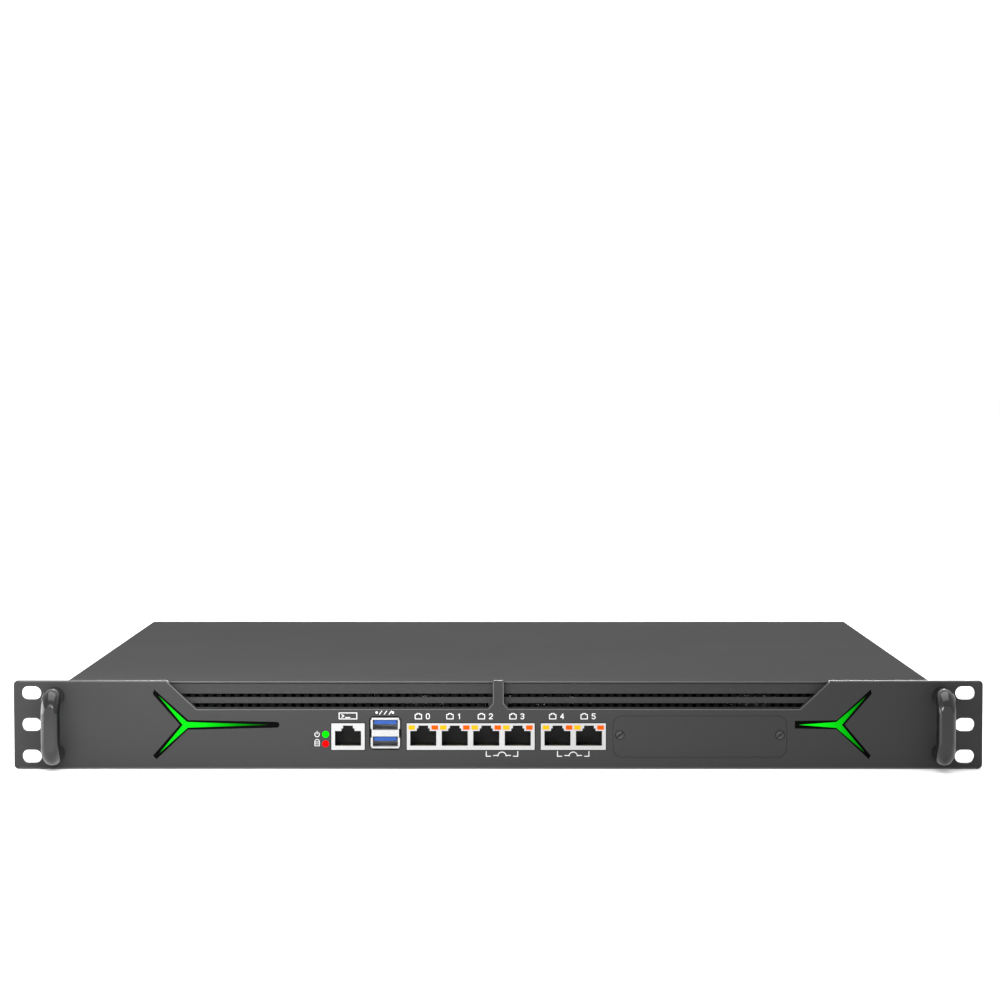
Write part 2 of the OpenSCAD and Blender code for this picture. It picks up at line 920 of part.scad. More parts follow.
// Folded sheet that holds the three fans against the rear wall
module fan_cradle()
    color(c_steel) at_home()
        difference() {
            union() {
                block(-60.5, 65.3, fan_y - 1.3, fan_y - 0.3, sheet + eps, 38);
                block(-60.5, 65.3, fan_y - 12, fan_y - 0.3, sheet + eps, sheet + 1);
                for (x = [-60.5, 64.3])
                    block(x, x + 1, fan_y - 1.3, wall_y - 0.2, sheet + eps, 38);
            }
            for (k = [-1, 0, 1])
                rod(fan_x + k * fan_pitch, fan_y - 3, fan_z, 18.2, 4);
        }

// ---- power supply ---------------------------------------------------------

module psu_case()
    color(c_steel) at_home()
        difference() {
            block(psu_x - psu_w / 2, psu_x + psu_w / 2, psu_y, wall_y - 0.1, psu_z, psu_z + psu_h);
            block(psu_x - psu_w / 2 + psu_t, psu_x + psu_w / 2 - psu_t,
                  psu_y + psu_t, wall_y - 0.1 - psu_t, psu_z + psu_t, psu_z + psu_h - psu_t);
            rod(psu_x + 14, psu_y - 1, psu_z + psu_h / 2, 17.5, 3);
            face(wall_y - 3, 4) {
                soft_span(vent_lo + [1.5, 1.5], vent_hi - [1.5, 1.5], 1);
                soft_span(inlet_lo - [slip, slip], inlet_hi + [slip, slip], 0.6);
            }
            for (p = psu_screw_at)
                rod(p[0], wall_y - 3, p[1], 1.5, 4);
        }

// Light plate in the rear opening, with staggered round bumps pressed out of it
module psu_vent_plate()
    color(c_light) at_home() {
        face(wall_y, 0.5)
            soft_span(vent_lo + [slip, slip], vent_hi - [slip, slip], 1.1);
        bump_grid()
            cone(0, wall_y + 0.5 - eps, 0, bump_r, bump_r * 0.62, 0.7);
    }

module bump_grid() {
    rows = 11;
    x0 = (vent_lo[0] + vent_hi[0]) / 2;
    z0 = (vent_lo[1] + vent_hi[1]) / 2;
    for (j = [0 : rows - 1], i = [0 : bump_cols - 1])
        translate([x0 + (i - (bump_cols - 1) / 2 + (j % 2 == 0 ? 0.25 : -0.25)) * bump_pitch, 0,
                   z0 + (j - (rows - 1) / 2) * bump_pitch / 2])
            children();
}

module psu_bracket()
    color(c_steel) at_home()
        for (span = [[-211.6, -203.4], [-121, -90]])
            difference() {
                block(span[0], span[1], wall_y - 1.2, wall_y - eps, sheet + 0.3, 41.4);
                for (p = rear_screw_at)
                    rod(p[0], wall_y - 3, p[1], 1.2, 4);
            }

module inlet_outline(grow) {
    w = 7.8 + grow;
    h = 12.05 + grow;
    c = 4.6;
    translate([inlet_x, inlet_z])
        polygon([
            [-w, -h], [w - c, -h], [w, -h + c], [w, h - c], [w - c, h], [-w, h]
        ]);
}

module mains_inlet()
    color(c_black) at_home()
        difference() {
            union() {
                face(wall_y - 22, 22 + sheet + 0.6)
                    soft_span(inlet_lo, inlet_hi, 0.6);
                face(back_y + 0.6 - eps, 1)
                    soft_span(inlet_lo + [1, 1], inlet_hi - [1, 1], 1);
            }
            face(back_y + 1.6 - inlet_depth, inlet_depth + 1)
                inlet_outline(0);
        }

module inlet_pins()
    color(c_zinc) at_home()
        for (p = [[-2.3, 7.2], [2.7, 0], [-2.3, -7.2]])
            block(inlet_x + p[0] - 2, inlet_x + p[0] + 2, back_y + 1.6 - inlet_depth + eps,
                  back_y + 1.6 - inlet_depth + pin_reach, inlet_z + p[1] - 1, inlet_z + p[1] + 1);

module psu_screws()
    color(c_steel) at_home()
        for (p = psu_screw_at)
            pan_screw(p[0], p[1], back_y, 2.85, 4.6);

module psu_fan_frame()
    color(c_black) at_home()
        translate([psu_x + 14, psu_y + psu_t + 0.1, psu_z + psu_h / 2])
            difference() {
                union() {
                    difference() {
                        face(0, 15)
                            soft(37.8, 37.8, 3);
                        rod(0, -1, 0, 17.8, 17);
                    }
                    rod(0, 0, 0, 8.5, 2.4);
                    for (a = [0, 90, 180, 270])
                        rotate([0, a, 0])
                            translate([8, 0, -1])
                                cube([10.4, 2, 2]);
                }
                rod(0, -1, 0, axle_r + axle_play, 4);
            }

module psu_fan_rotor()
    color(c_dark) at_home()
        translate([psu_x + 14, psu_y + psu_t + 0.1, psu_z + psu_h / 2])
            union() {
                rod(0, 3, 0, 8.5, 10);
                rod(0, 0.4, 0, axle_r, 5);
                intersection() {
                    rod(0, 3, 0, 17.2, 10.5);
                    for (i = [0 : 6])
                        rotate([0, i * 360 / 7, 0])
                            translate([7.6, 8, 0])
                                rotate([48, 0, 0])
                                    translate([0, -0.45, -6])
                                        cube([12, 0.9, 12]);
                }
            }

module psu_board()
    color(c_board) at_home()
        union() {
            block(psu_x - 36, psu_x + 36, psu_y + 20, wall_y - 24, psu_z + 4, psu_z + 5.6);
            block(psu_x - 30, psu_x - 6, psu_y + 40, psu_y + 66, psu_z + 5.6, psu_z + 31);
            for (i = [0 : 3])
                translate([psu_x + 14 + (i % 2) * 15, psu_y + 46 + floor(i / 2) * 28, psu_z + 5.6])
                    cylinder(h = 26, r = 6.3);
            for (y = [0 : 3])
                block(psu_x - 33, psu_x - 2, psu_y + 76 + y * 9, psu_y + 79 + y * 9,
                      psu_z + 5.6, psu_z + 30);
        }

// ---- boards and storage ---------------------------------------------------

module mainboard()
    color(c_board) at_home() {
        difference() {
            block(board_x0, board_x1, board_y, board_y + board_d, board_z, board_z + board_t);
            for (p = board_holes())
                translate([p[0], p[1], board_z - 1])
                    cylinder(h = board_t + 2, r = 1.7);
        }
        translate([0, board_y, board_z + board_t - eps])
            board_parts();
    }

// Holders and chips soldered to the mainboard, measured from its front edge and upper face
module board_parts() {
    for (i = [0, 1], j = [0 : 2])
        block(60 + i * 16, 70 + i * 16, 118 + j * 14, 128 + j * 14, 0, 1.4);
    block(-96, -88, 169.5, 191, 0, 8);
    block(64, 92, 206, 214, 0, 9);
    difference() {
        block(-73.6, -67, 61, 204, 0, 7);
        block(-71.1, -69.5, 65.9, 199.1, 1.9, 9);
    }
    translate([84, 84, 0])
        difference() {
            cylinder(h = 4.2, r = 11.6);
            translate([0, 0, 1.95])
                cylinder(h = 4, r = 10.1);
        }
}

function board_holes() = [
    for (x = [board_x0 + 6, 0, board_x1 - 6], y = [board_y + 40, board_y + board_d - 8]) [x, y]
];

module board_standoffs()
    color(c_gold) at_home()
        for (p = board_holes())
            translate([p[0], p[1], sheet])
                difference() {
                    cylinder(h = board_z - sheet, r = 2.9, $fn = 6);
                    translate([0, 0, 1])
                        cylinder(h = board_z, r = 1.25);
                }

module board_screws()
    color(c_steel) at_home()
        for (p = board_holes())
            translate([p[0], p[1], 0])
                difference() {
                    union() {
                        translate([0, 0, board_z + board_t])
                            cylinder(h = 1.7, r1 = 2.9, r2 = 2.4);
                        translate([0, 0, sheet + 1.4])
                            cylinder(h = board_z + board_t - sheet - 1.3, r = 1.2);
                    }
                    for (a = [0, 90])
                        translate([0, 0, board_z + board_t + 1.4])
                            rotate(a)
                                cube([3.2, 0.7, 1], center = true);
                }

module processor_heatsink()
    color(c_light) at_home() {
        block(-36, 34, board_y + 90, board_y + 160, board_z + board_t + 1.6, board_z + board_t + 5);
        for (i = [0 : 19])
            block(-36 + i * 3.62, -34.8 + i * 3.62, board_y + 90, board_y + 160,
                  board_z + board_t + 5 - eps, board_z + board_t + 26);
        block(-14, 12, board_y + 112, board_y + 138, board_z + board_t, board_z + board_t + 1.6 + eps);
    }

module memory_module()
    color(c_board) at_home() {
        block(-71, -69.6, board_y + 66, board_y + 199, board_z + board_t + 2, board_z + board_t + 31);
        for (i = [0 : 7])
            block(-72.2, -68.4, board_y + 72 + i * 15.6, board_y + 83 + i * 15.6,
                  board_z + board_t + 12, board_z + board_t + 24);
    }

module coin_cell()
    color(c_zinc) at_home()
        translate([84, board_y + 84, board_z + board_t + 2])
            cylinder(h = 3.2, r = 10);

module solid_state_drive()
    color(c_dark) at_home()
        block(122, 191.9, 150, 250, sheet + 4, sheet + 11);

module drive_bracket()
    color(c_steel) at_home()
        difference() {
            union() {
                for (x = [120.8, 192.1])
                    block(x, x + 1, 152, 248, sheet + eps, sheet + 10);
                for (x = [112, 193.1])
                    block(x, x + 8.8, 152, 248, sheet + eps, sheet + 1);
                block(121, 193, 165, 235, sheet + 2.9, sheet + 3.9);
            }
            for (x = [116.4, 197.5], y = [160, 240])
                translate([x, y, sheet - 1])
                    cylinder(h = 3, r = 1.7);
        }

// Supply leads to the mainboard and the flat cable to the rear board
module internal_cables()
    color(c_black) at_home() {
        for (i = [0 : 3])
            supply_lead(psu_x + psu_w / 2 - 8 - i * 3.2, 196 - i * 3.2, board_z + board_t + 12.4);
        block(-97, -87.4, 178, 200.5, board_z + board_t + 8.1, board_z + board_t + 14.6);
        block(68, 88, board_y + 207, board_y + 213, board_z + board_t + 9.1, board_z + board_t + 13);
        block(70, 86, board_y + 213 - eps, plate_y - 30,
              board_z + board_t + 10.5, board_z + board_t + 11.1);
        block(70, 111, plate_y - 33, plate_y - 27,
              board_z + board_t + 10.5, board_z + board_t + 11.1);
        block(105, 117, plate_y - 33, plate_y - 27, video_z - 0.3, board_z + board_t + 13);
    }

module supply_lead(x, y, z) {
    translate([x, y, z])
        sphere(r = 1.4);
    rod(x, y, z, 1.4, psu_y - y - 0.1);
    translate([x, y, z])
        rotate([0, 90, 0])
            cylinder(h = -94.5 - x, r = 1.4);
}

front_panel();
vent_mesh();
handle_left();
handle_right();
handle_screws();
blank_cover();
blank_cover_screws();
light_bezel_left();
light_bezel_right();
light_guide_left();
light_guide_right();
light_boards();
power_pipe();
storage_pipe();
console_socket();
lan_block_four();
lan_block_two();
socket_inserts();
socket_contacts();
link_lamps_yellow();
link_lamps_orange();
usb_sockets();
usb_tongues();
chassis_base();
top_cover();
io_plate();
rear_screws();
switch_body();
power_rocker();
antenna_plugs();
video_socket();
video_tongue();
video_screws();
reset_button();
rear_io_board();
fan_frame_left();
fan_frame_middle();
fan_frame_right();
fan_rotor_left();
fan_rotor_middle();
fan_rotor_right();
fan_cradle();
psu_case();
psu_vent_plate();
psu_bracket();
mains_inlet();
inlet_pins();
psu_screws();
psu_fan_frame();
psu_fan_rotor();
psu_board();
mainboard();
board_standoffs();
board_screws();
processor_heatsink();
memory_module();
coin_cell();
solid_state_drive();
drive_bracket();
internal_cables();
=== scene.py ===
import json
import math

import bmesh
import bpy
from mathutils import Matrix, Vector


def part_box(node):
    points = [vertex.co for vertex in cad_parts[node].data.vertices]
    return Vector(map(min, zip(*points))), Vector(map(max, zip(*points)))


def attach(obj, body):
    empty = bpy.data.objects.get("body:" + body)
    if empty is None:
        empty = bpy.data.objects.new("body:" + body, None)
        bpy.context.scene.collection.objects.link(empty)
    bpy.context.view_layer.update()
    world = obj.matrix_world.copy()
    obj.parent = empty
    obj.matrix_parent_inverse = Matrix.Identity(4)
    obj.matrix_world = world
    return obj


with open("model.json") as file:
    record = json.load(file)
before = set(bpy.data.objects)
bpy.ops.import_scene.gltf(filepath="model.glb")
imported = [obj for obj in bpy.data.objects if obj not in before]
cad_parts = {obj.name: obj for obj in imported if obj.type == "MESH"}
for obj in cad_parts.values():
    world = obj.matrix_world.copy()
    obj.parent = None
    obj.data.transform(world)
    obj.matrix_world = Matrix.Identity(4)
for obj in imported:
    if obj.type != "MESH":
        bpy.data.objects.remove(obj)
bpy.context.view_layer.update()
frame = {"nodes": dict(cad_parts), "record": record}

NODES = frame["nodes"]
FRONT_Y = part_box("front_panel")[0][1]
REAR_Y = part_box("chassis_base")[1][1]
TOP_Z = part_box("top_cover")[1][2]
FLOOR_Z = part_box("chassis_base")[0][2]
MM = 0.001
REAR = (REAR_Y - FRONT_Y) / MM                              # the rear wall's outer face, in mm as at() counts
PLATE = (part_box("io_plate")[1][1] - FRONT_Y) / MM           # the recessed plate's outer face


def at(x, y, z):
    """A point in the shared frame, from its millimetres from the middle of the front face's foot."""
    return Vector((x * MM, FRONT_Y + y * MM, FLOOR_Z + z * MM))


# ---- camera ---------------------------------------------------------------
SENSOR = 36.0           # mm
PICTURE = 1000.0        # the width that the focal length is counted for
CAM_F = 3196.7          # focal length in the picture's own units
CAM_SHIFT = (-0.0003, 0.1014)
CAM_DIP = 0.0684        # radians below level
CAM_PLACE = (1.0, -1584.96, 192.17)

cam_data = bpy.data.cameras.new("camera")
cam = bpy.data.objects.new("camera", cam_data)
bpy.context.collection.objects.link(cam)
cam_data.sensor_width = SENSOR
cam_data.lens = CAM_F * SENSOR / PICTURE
cam_data.clip_start = 0.05
cam_data.clip_end = 100.0
cam_data.shift_x, cam_data.shift_y = CAM_SHIFT
cam.location = at(*CAM_PLACE)
cam.rotation_euler = (math.radians(90.0) - CAM_DIP, 0.0, 0.0)
bpy.context.scene.camera = cam
bpy.context.scene.view_settings.view_transform = "Standard"

# ---- materials ------------------------------------------------------------
DARK, LIGHT = 0.3, 0.7          # where in the noise a colour is at its darkest and its lightest
FINE_SHARE = 0.45               # how much of the colour's variation is fine grain
MIN_ROUGH = 0.02


class Nodes:
    """Short helper for building one node material."""

    def __init__(self, name):
        self.mat = bpy.data.materials.new(name)
        self.mat.use_nodes = True
        self.tree = self.mat.node_tree
        self.bsdf = self.tree.nodes["Principled BSDF"]
        self.coord = self.new("ShaderNodeTexCoord")

    def new(self, kind, **props):
        n = self.tree.nodes.new(kind)
        for k, v in props.items():
            setattr(n, k, v)
        return n

    def link(self, a, b):
        self.tree.links.new(a, b)

    def noise(self, scale, detail=3.0, rough=0.55, stretch=None):
        n = self.new("ShaderNodeTexNoise")
        n.inputs["Scale"].default_value = scale
        n.inputs["Detail"].default_value = detail
        n.inputs["Roughness"].default_value = rough
        src = self.coord.outputs["Object"]
        if stretch:
            m = self.new("ShaderNodeMapping")
            m.inputs["Scale"].default_value = stretch
            self.link(src, m.inputs["Vector"])
            src = m.outputs["Vector"]
        self.link(src, n.inputs["Vector"])
        return n.outputs["Fac"]

    def ramp(self, fac, stops):
        r = self.new("ShaderNodeValToRGB")
        els = r.color_ramp.elements
        while len(els) < len(stops):
            els.new(0.5)
        for e, (pos, col) in zip(els, stops):
            e.position = pos
            e.color = (*col, 1.0)
        self.link(fac, r.inputs["Fac"])
        return r.outputs["Color"]

    def remap(self, value, a, b, lo, hi):
        """Takes a value from the range a to b into the range lo to hi."""
        m = self.new("ShaderNodeMapRange")
        for key, v in (("From Min", a), ("From Max", b), ("To Min", lo), ("To Max", hi)):
            m.inputs[key].default_value = v
        self.link(value, m.inputs["Value"])
        return m.outputs["Result"]

    def span(self, fac, lo, hi):
        return self.remap(fac, 0.0, 1.0, lo, hi)

    def place(self, axis, a, b, lo, hi):
        """Goes from lo at a to hi at b along one axis of the object."""
        split = self.new("ShaderNodeSeparateXYZ")
        self.link(self.coord.outputs["Object"], split.inputs["Vector"])
        return self.remap(split.outputs[axis], a, b, lo, hi)

    def bump(self, height, strength, distance):
        b = self.new("ShaderNodeBump")
        b.inputs["Strength"].default_value = strength
        b.inputs["Distance"].default_value = distance
        self.link(height, b.inputs["Height"])
        return b.outputs["Normal"]

    def lit_plastic(self, broad, rough, strength):
        """Sets what the lit mouldings share: their glow, no highlights and a faint grain."""
        self.bsdf.inputs["Emission Strength"].default_value = strength
        self.bsdf.inputs["Specular IOR Level"].default_value = 0.0
        self.link(self.span(broad, *rough), self.bsdf.inputs["Roughness"])
        self.link(self.bump(self.noise(900.0, 1.0), 0.05, 0.00002), self.bsdf.inputs["Normal"])


def shade(c, k):
    return tuple(min(1.0, v * k) for v in c)


def surface(name, color, rough, metallic=0.0, vary=0.12, grain=1400.0, bump=0.12, depth=0.00003,
            patch=60.0, rough_vary=0.08, specular=0.5, stretch=None, along=None, sheen=None):
    """A finish with two sizes of colour variation, uneven roughness and a fine grain in relief.

    along=(axis, a, b, k) paints light and shade onto one piece: it takes the colour from k times at a to full
    at b along an axis of the object; sheen=(axis, a, b, from, to) does the same for its gloss.
    """
    n = Nodes(name)
    fine = n.noise(grain, 2.0, 0.5, stretch)
    broad = n.noise(patch, 4.0, 0.6)
    mix = n.new("ShaderNodeMath", operation="MULTIPLY_ADD")
    mix.inputs[1].default_value = FINE_SHARE
    n.link(fine, mix.inputs[0])
    rest = n.new("ShaderNodeMath", operation="MULTIPLY")
    rest.inputs[1].default_value = 1.0 - FINE_SHARE
    n.link(broad, rest.inputs[0])
    n.link(rest.outputs[0], mix.inputs[2])
    col = n.ramp(mix.outputs[0], [(DARK, shade(color, 1.0 - vary)), (LIGHT, shade(color, 1.0 + vary))])
    # painted light and shade: the colour is scaled by where a point lies on the object
    if along:
        painted_light_mix = n.new("ShaderNodeMix", data_type="RGBA", blend_type="MULTIPLY")
        painted_light_mix.inputs["Factor"].default_value = 1.0
        n.link(col, painted_light_mix.inputs["A"])
        n.link(n.ramp(n.place(*along[:3], 0.0, 1.0), [(0.0, (along[3],) * 3), (1.0, (1.0,) * 3)]),
               painted_light_mix.inputs["B"])
        col = painted_light_mix.outputs["Result"]
    n.link(col, n.bsdf.inputs["Base Color"])
    n.link(n.span(broad, max(MIN_ROUGH, rough - rough_vary), min(1.0, rough + rough_vary)),
           n.bsdf.inputs["Roughness"])
    n.bsdf.inputs["Metallic"].default_value = metallic
    n.bsdf.inputs["Specular IOR Level"].default_value = specular
    if sheen:
        n.link(n.place(*sheen), n.bsdf.inputs["Specular IOR Level"])
    n.link(n.bump(fine, bump, depth), n.bsdf.inputs["Normal"])
    return n.mat


GUIDE_REACH = (0.006, 0.036)    # metres from the middle of the Y over which its light fades
GUIDE_GLOW = [(0.0, (0.004, 0.95, 0.012)), (0.35, (0.002, 0.6, 0.006)), (0.65, (0.0, 0.28, 0.003)),
              (1.0, (0.0, 0.09, 0.001))]


def guide(name, middle):
    """The lit Y mould: brightest where its arms meet, darker towards their tips."""
    n = Nodes(name)
    off = n.new("ShaderNodeVectorMath", operation="DISTANCE")
    n.link(n.coord.outputs["Object"], off.inputs[0])
    off.inputs[1].default_value = middle
    far = n.remap(off.outputs["Value"], *GUIDE_REACH, 0.0, 1.0)
    n.link(n.ramp(far, GUIDE_GLOW), n.bsdf.inputs["Emission Color"])
    broad = n.noise(260.0, 3.0, 0.5)
    n.link(n.ramp(broad, [(DARK, (0.001, 0.03, 0.001)), (LIGHT, (0.001, 0.05, 0.001))]),
           n.bsdf.inputs["Base Color"])
    n.lit_plastic(broad, (0.3, 0.42), 1.0)
    return n.mat


def glowing(name, color, glow, strength):
    """A lit moulding: clear tinted plastic with a soft uneven glow."""
    n = Nodes(name)
    broad = n.noise(220.0, 3.0, 0.5)
    n.link(n.ramp(broad, [(DARK, shade(color, 0.92)), (LIGHT, color)]), n.bsdf.inputs["Base Color"])
    n.link(n.ramp(broad, [(0.25, shade(glow, 0.95)), (0.75, glow)]), n.bsdf.inputs["Emission Color"])
    n.lit_plastic(broad, (0.2, 0.33), strength)
    return n.mat


# painted light: the cover's flat top is coloured paler and duller than the body, standing in for the light it
# catches; its bent skirt keeps the body's colour and gloss
BEND_LOW, BEND_HIGH = TOP_Z - 0.0009, TOP_Z - 0.0003
# painted shade: the mains inlet is coloured darker inside than on its flange, standing in for the shade in
# its cavity
FLANGE_LOW, FLANGE_HIGH = REAR_Y + 0.0002, REAR_Y + 0.0005

M = {
    "powder_coat": surface("powder_coat", (0.0215, 0.0215, 0.0217), 0.46, vary=0.06, grain=2600.0, bump=0.3,
                           depth=0.00004, patch=14.0, rough_vary=0.04, specular=0.2),
    # painted highlight: a paler copy of the body's coat for the lines along the front edges
    "powder_edge_painted_highlight": surface("powder_edge_painted_highlight", (0.07, 0.07, 0.071), 0.4, vary=0.12, grain=900.0, bump=0.2,
                           patch=30.0, specular=0.3),
    # painted light: the same coat as the body, coloured paler on the flat top
    "powder_top_painted_light": surface("powder_top_painted_light", (0.051, 0.051, 0.0514), 0.5, vary=0.05, grain=2600.0, bump=0.35,
                          depth=0.00004, patch=14.0, rough_vary=0.05, specular=0.0,
                          along=("Z", BEND_LOW, BEND_HIGH, 0.42), sheen=("Z", BEND_LOW, BEND_HIGH, 0.2, 0.0)),
    # painted shade: the vent mesh is coloured far darker than the body, standing in for the shade in the
    # recess behind the vent slots
    "mesh_dark": surface("mesh_dark", (0.006, 0.006, 0.006), 0.6, vary=0.15, grain=1500.0, specular=0.0),
    "handle_black": surface("handle_black", (0.003, 0.003, 0.0031), 0.2, vary=0.08, grain=2200.0,
                            bump=0.04, patch=40.0, rough_vary=0.03, specular=0.45),
    "screw_steel": surface("screw_steel", (0.42, 0.42, 0.43), 0.34, metallic=1.0, vary=0.15, grain=1800.0),
    "screw_black": surface("screw_black", (0.03, 0.03, 0.031), 0.4, metallic=0.2, vary=0.15, grain=1800.0,
                           specular=0.4),
    "black_plastic": surface("black_plastic", (0.0022, 0.0022, 0.0022), 0.5, vary=0.2, grain=2400.0, bump=0.1,
                             specular=0.0),
    "pin_steel": surface("pin_steel", (0.045, 0.045, 0.045), 0.35, metallic=0.9, vary=0.1, grain=900.0),
    "socket_silver": surface("socket_silver", (0.33, 0.33, 0.33), 0.35, metallic=0.6, vary=0.08,
                             grain=1200.0),
    "board_dark": surface("board_dark", (0.006, 0.012, 0.008), 0.5, vary=0.2, grain=700.0, specular=0.1),
    "switch_black": surface("switch_black", (0.0045, 0.0045, 0.0045), 0.42, vary=0.2, grain=2400.0,
                            bump=0.1, specular=0.2),
    # painted shade: the colour drops to 0.12 of itself inside the flange
    "inlet_black": surface("inlet_black", (0.014, 0.014, 0.014), 0.45, vary=0.1, grain=2400.0, bump=0.1,
                           specular=0.15, along=("Y", FLANGE_LOW, FLANGE_HIGH, 0.12)),
    "fan_black": surface("fan_black", (0.006, 0.006, 0.0061), 0.45, vary=0.15, grain=2000.0, specular=0.3),
    "plug_black": surface("plug_black", (0.005, 0.005, 0.005), 0.5, vary=0.15, grain=2000.0, specular=0.25),
    "dark_plastic": surface("dark_plastic", (0.012, 0.012, 0.0122), 0.5, vary=0.15, grain=2000.0,
                            specular=0.25),
    "lamp_green": glowing("lamp_green", (0.002, 0.2, 0.002), (0.0, 1.0, 0.0), 1.0),
    "lamp_red": glowing("lamp_red", (0.2, 0.002, 0.002), (1.0, 0.0, 0.0), 1.0),
    "lamp_yellow": glowing("lamp_yellow", (0.42, 0.2, 0.005), (1.0, 0.5, 0.01), 0.35),
    "lamp_orange": glowing("lamp_orange", (0.42, 0.045, 0.002), (1.0, 0.08, 0.0), 0.5),
    "white_jack": surface("white_jack", (0.33, 0.33, 0.33), 0.45, metallic=0.15, vary=0.05, grain=1500.0,
                          bump=0.05, specular=0.3),
    "blue_plastic": surface("blue_plastic", (0.012, 0.055, 0.235), 0.4, vary=0.06, grain=1500.0, bump=0.04,
                            specular=0.2),
    "contact_gold": surface("contact_gold", (0.1, 0.075, 0.03), 0.4, metallic=1.0, vary=0.1),
    "circuit_board": surface("circuit_board", (0.01, 0.12, 0.05), 0.4, vary=0.25, grain=700.0),
    "light_steel": surface("light_steel", (0.45, 0.45, 0.46), 0.38, metallic=0.9, vary=0.1, grain=500.0,
                           patch=90.0),
    "light_plate": surface("light_plate", (0.125, 0.125, 0.123), 0.45, metallic=0.2, vary=0.06, grain=1600.0),
    "button_grey": surface("button_grey", (0.165, 0.165, 0.165), 0.4, vary=0.05, grain=1800.0),
    "heatsink_aluminium": surface("heatsink_aluminium", (0.3, 0.3, 0.31), 0.32, metallic=1.0, vary=0.06,
                                  stretch=(1.0, 0.1, 1.0)),
    "standoff_brass": surface("standoff_brass", (0.72, 0.5, 0.2), 0.3, metallic=1.0, vary=0.1),
    "cable_sleeve": surface("cable_sleeve", (0.02, 0.02, 0.02), 0.6, vary=0.2, grain=900.0),
    "drive_shell": surface("drive_shell", (0.5, 0.51, 0.52), 0.35, metallic=1.0, vary=0.06),
    "cell_steel": surface("cell_steel", (0.75, 0.75, 0.74), 0.22, metallic=1.0, vary=0.05),
    "ink": surface("ink", (0.5, 0.5, 0.5), 0.55, vary=0.05, grain=2500.0, bump=0.05, specular=0.1),
    # painted shade: near-black for the strips that stand in for shadowed gaps, seams and screw recesses
    "painted_gap_shade": surface("painted_gap_shade", (0.0025, 0.0025, 0.0025), 0.8, vary=0.2, specular=0.05),
}
Y_MIDDLE_Z = 21.9
for side, x in (("left", -155.0), ("right", 153.6)):
    M["guide_" + side] = guide("guide_" + side, at(x, 0.0, Y_MIDDLE_Z))

SLOT_OF = {e["node"]: e["material_slot"] for e in frame["record"]["subparts"]}
SPECIAL = {
    "blank_cover_screws": "screw_black", "rear_screws": "screw_black", "psu_screws": "screw_black",
    "video_screws": "screw_black", "console_socket": "white_jack", "lan_block_four": "white_jack",
    "lan_block_two": "white_jack", "usb_sockets": "white_jack", "power_pipe": "lamp_green",
    "light_guide_left": "guide_left", "light_guide_right": "guide_right", "switch_body": "switch_black",
    "power_rocker": "switch_black", "mains_inlet": "inlet_black", "top_cover": "powder_top_painted_light",
    "inlet_pins": "pin_steel", "video_socket": "socket_silver", "rear_io_board": "board_dark",
    "antenna_plugs": "plug_black",
}
SPECIAL |= {part + side: "fan_black" for part in ("fan_frame_", "fan_rotor_")
            for side in ("left", "middle", "right")}

for name, obj in NODES.items():
    obj.data.materials.clear()
    obj.data.materials.append(M[SPECIAL.get(name, SLOT_OF[name])])

WELD_GAP = 0.000002             # metres
SHARP = math.radians(28.0)


def soften(name, width):
    """Rounds a CAD node's sharp edges for the picture; its mesh is left as it is."""
    obj = NODES[name]
    weld = obj.modifiers.new("weld", "WELD")
    weld.merge_threshold = WELD_GAP
    bev = obj.modifiers.new("bevel", "BEVEL")
    bev.width = width * MM
    bev.segments = 2
    bev.limit_method = "ANGLE"
    bev.angle_limit = SHARP


for name, width in (("front_panel", 0.6), ("top_cover", 0.35), ("blank_cover", 0.15),
                    ("mains_inlet", 0.35), ("power_rocker", 0.3), ("switch_body", 0.3),
                    ("reset_button", 0.25), ("antenna_plugs", 0.2)):
    soften(name, width)

# ---- mesh helpers ---------------------------------------------------------
LAYER = 0.002                   # mm between faces that would otherwise share a plane
ROUND = 24                      # sides of a disc or a bow
JOINT_SIDES = 10                # sides of a stroke's round joints


def mesh_object(name, bm, material):
    mesh = bpy.data.meshes.new(name)
    bm.to_mesh(mesh)
    bm.free()
    mesh.materials.append(material)
    obj = bpy.data.objects.new(name, mesh)
    bpy.context.collection.objects.link(obj)
    return obj


def finish_mesh(name, bm, material):
    bmesh.ops.recalc_face_normals(bm, faces=bm.faces)
    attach(mesh_object(name, bm, material), "chassis")


def prism(bm, pts, y0, y1):
    """A closed outline in the X-Z plane, in millimetres, between two depths from the front face."""
    n = len(pts)
    a = [bm.verts.new(at(x, y0, z)) for x, z in pts]
    b = [bm.verts.new(at(x, y1, z)) for x, z in pts]
    bm.faces.new(a)
    bm.faces.new(b[::-1])
    for i in range(n):
        j = (i + 1) % n
        bm.faces.new((a[i], a[j], b[j], b[i]))


def arc(x, z, r, a0, a1, n):
    turns = [math.radians(a0 + (a1 - a0) * i / n) for i in range(n + 1)]
    return [(x + r * math.cos(t), z + r * math.sin(t)) for t in turns]


def disc(bm, x, z, r, y0, y1, n=ROUND):
    turns = [2 * math.pi * i / n for i in range(n)]
    prism(bm, [(x + r * math.cos(t), z + r * math.sin(t)) for t in turns], y0, y1)


def bow(bm, x, z, r, a0, a1, width, y0, y1):
    """A curved line of one piece, from angle a0 to a1."""
    outer = arc(x, z, r + width / 2, a0, a1, ROUND)
    inner = arc(x, z, r - width / 2, a1, a0, ROUND)
    prism(bm, outer + inner, y0, y1)


